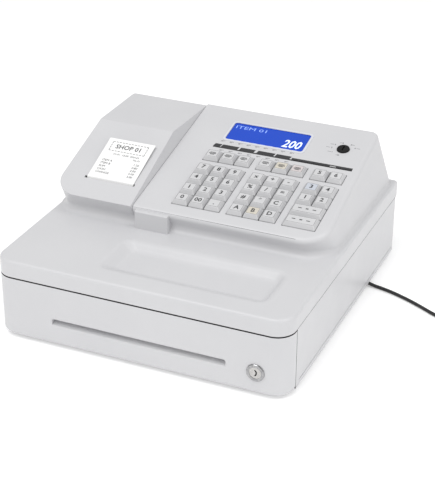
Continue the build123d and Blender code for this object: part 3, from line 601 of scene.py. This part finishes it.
# Keys: glossy caps. The printed card of each key is a film on the cap's top, pale with a thin
# outline and its character.
key_plastic = moulded_plastic("key_plastic", (0.60, 0.60, 0.61), (0.55, 0.55, 0.56), 0.13, depth=0.000003)
key_plastic.node_tree.nodes["Principled BSDF"].inputs["Coat Weight"].default_value = 0.4
key_nodes = sorted(name for name in frame["nodes"] if name.startswith("key_"))
finish_nodes(key_plastic, *key_nodes)
card_white = moulded_plastic("card_white", (0.64, 0.64, 0.65), (0.59, 0.59, 0.60), 0.2)
card_beige = moulded_plastic("card_beige", (0.66, 0.62, 0.54), (0.62, 0.58, 0.50), 0.2)
card_pink = moulded_plastic("card_pink", (0.65, 0.60, 0.60), (0.61, 0.56, 0.56), 0.2)
card_blue = moulded_plastic("card_blue", (0.58, 0.61, 0.67), (0.54, 0.57, 0.63), 0.2)
card_inks = (card_white, card_beige, card_pink, card_blue)
tints = {"key_1_5": 1, "key_5_5": 1, "key_1_6": 2, "key_2_7": 3}
characters = {
    "key_2_1": "7", "key_2_2": "8", "key_2_3": "9",
    "key_3_1": "4", "key_3_2": "5", "key_3_3": "6",
    "key_4_1": "1", "key_4_2": "2", "key_4_3": "3",
    "key_5_1": "0", "key_5_2": "00", "key_5_3": ".",
    "key_2_4": "x", "key_2_5": "+", "key_2_6": "-",
    "key_3_4": "%", "key_3_5": "/", "key_3_6": "=",
    "key_4_4": "#", "key_4_5": "*", "key_4_6": "C",
    "key_5_4": "A", "key_5_5": "B", "key_5_6": "D",
    "key_1_7": "5", "key_1_8": "6", "key_2_7": "3", "key_2_8": "4", "key_3_7": "1", "key_3_8": "2",
}
card_inset_x, card_inset_y = 0.0048, 0.0064
for key in key_nodes:
    low, high = panel_box(key)
    x, up, top = (low.x + high.x) / 2, (low.y + high.y) / 2 - 0.0002, high.z
    width, depth = high.x - low.x - card_inset_x, high.y - low.y - card_inset_y
    card = [
        (round_plate(width, depth, 0.0008, on_panel(x, up, top + 0.00001)), tints.get(key, 0)),
        (frame_of(width, depth, 0.0008, 0.00038, on_panel(x, up, top + 0.00004), thick=0.00003), 5),
    ]
    ink_height = top + 0.00005
    if key in characters:
        card.append((lettering(characters[key], 0.0082, on_panel(x, up, ink_height), weight=0.0002), 4))
    elif key in ("key_subtotal", "key_total"):
        card.append((patch(0.0040, 0.0011, on_panel(x - 0.008, up, ink_height)), 4))
        card.append((patch(0.0030, 0.0016, on_panel(x, up, ink_height)), 4))
        card.append((patch(0.0040, 0.0011, on_panel(x + 0.008, up, ink_height)), 4))
    else:
        for line, share in ((0.0016, 0.52), (-0.0002, 0.66), (-0.0019, 0.4)):
            card.append((patch(width * share, 0.0010, on_panel(x, up + line, ink_height)), 4))
    key_card = joined(key.replace("key", "card"), card, *card_inks, ink_dark, ink_grey)
    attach(key_card, key)


# Printed slip: a dashed box with the heading, the date, and rows of items with their prices.
# Thermal print is a soft black.
slip_low, slip_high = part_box("receipt_slip")
slip_slope = radians(21.7)
slip = (
    Matrix.Translation(((slip_low.x + slip_high.x) / 2, slip_high.y, slip_high.z))
    @ Matrix.Rotation(slip_slope, 4, "X")
)


def on_slip(x, down):
    return slip @ Matrix.Translation((x, -down, 0.00014))


slip_print = [(lettering("SHOP 01", 0.0088, on_slip(0, 0.0118), width=0.95, weight=0.0001), 0)]
box_top, box_bottom, box_side = 0.0050, 0.0186, 0.0216
for step in range(12):
    x = -0.0205 + 0.00373 * step
    for down in (box_top, box_bottom):
        slip_print.append((patch(0.0025, 0.0006, on_slip(x, down)), 0))
for step in range(4):
    down = 0.0066 + 0.0034 * step
    for x in (-box_side, box_side):
        slip_print.append((patch(0.0006, 0.0022, on_slip(x, down)), 0))
slip_print.append((lettering("01-01  12:00  000123", 0.0033, on_slip(0.002, 0.0232), width=1.1), 0))
slip_print.append((lettering("No 01", 0.0033, on_slip(0.0165, 0.0275)), 0))
rows = (("ITEM A", "1.20"), ("ITEM B", "0.80"), ("SUM", "2.00"), ("CASH", "5.00"), ("CHANGE", "3.00"))
for step, (item, price) in enumerate(rows):
    down = 0.0340 + 0.0046 * step
    slip_print.append((lettering(item, 0.0040, on_slip(-0.0225, down), align="LEFT"), 0))
    slip_print.append((lettering(price, 0.0040, on_slip(0.0225, down), align="RIGHT"), 0))
thermal_ink = moulded_plastic("thermal_ink", (0.06, 0.06, 0.065), (0.04, 0.04, 0.045), 0.6)
slip_text = joined("slip_print", slip_print, thermal_ink)
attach(slip_text, "printer_cover")


# Mains cord: a thin black lead from the pocket under the right edge to a coil at the side.
cord_points = [
    (0.1500, 0.0840, 0.0080),
    (0.1630, 0.0835, 0.0023),
    (0.1850, 0.0790, 0.0020),
    (0.2070, 0.0705, 0.0020),
    (0.2290, 0.0595, 0.0020),
    (0.2500, 0.0470, 0.0020),
    (0.2700, 0.0410, 0.0020),
]
CORD_R = 0.0019
coil_low, coil_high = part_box("cord_coil")
coil_middle = (coil_low + coil_high) / 2
outer_turn_r = 0.0263
turns, steps, layer_turns = 12.3, 16, 3
for step in range(int(turns * steps)):
    turn = step / steps
    angle = radians(125) - 2 * pi * turn
    layer = int(turn / layer_turns)
    within = turn - layer * layer_turns
    inwards = within if layer % 2 == 0 else layer_turns - 0.1 - within
    ring = outer_turn_r - inwards * 2 * CORD_R
    height = CORD_R + 0.0006 + layer * 2 * CORD_R + 0.0004 * sin(3 * angle)
    cord_points.append(
        (coil_middle.x + ring * cos(angle), coil_middle.y + ring * sin(angle), height)
    )
# The free end leaves the top of the coil and runs into the boot of the plug
cord_points += [
    (0.3302, 0.0245, 0.0172),
    (0.3325, 0.0212, 0.0150),
    (0.3330, 0.0182, 0.0110),
    (0.3325, 0.0150, 0.0097),
    (0.3325, 0.0100, 0.0097),
]
cord_curve = bpy.data.curves.new("mains_cord", "CURVE")
cord_curve.dimensions = "3D"
cord_curve.bevel_depth = CORD_R
cord_curve.bevel_resolution = 4
cord_curve.use_fill_caps = True
cord_line = cord_curve.splines.new("NURBS")
cord_line.points.add(len(cord_points) - 1)
for point, place in zip(cord_line.points, cord_points):
    point.co = (*place, 1)
cord_line.order_u = 3
cord_line.use_endpoint_u = True
cord_line.resolution_u = 6
mains_cord = bpy.data.objects.new("mains_cord", cord_curve)
bpy.context.scene.collection.objects.link(mains_cord)
cord_sheath = moulded_plastic("cord_sheath", (0.014, 0.014, 0.014), (0.009, 0.009, 0.009), 0.45)
cord_curve.materials.append(cord_sheath)
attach(mains_cord, "case")
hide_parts("power_cord", "cord_coil")

low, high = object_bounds()
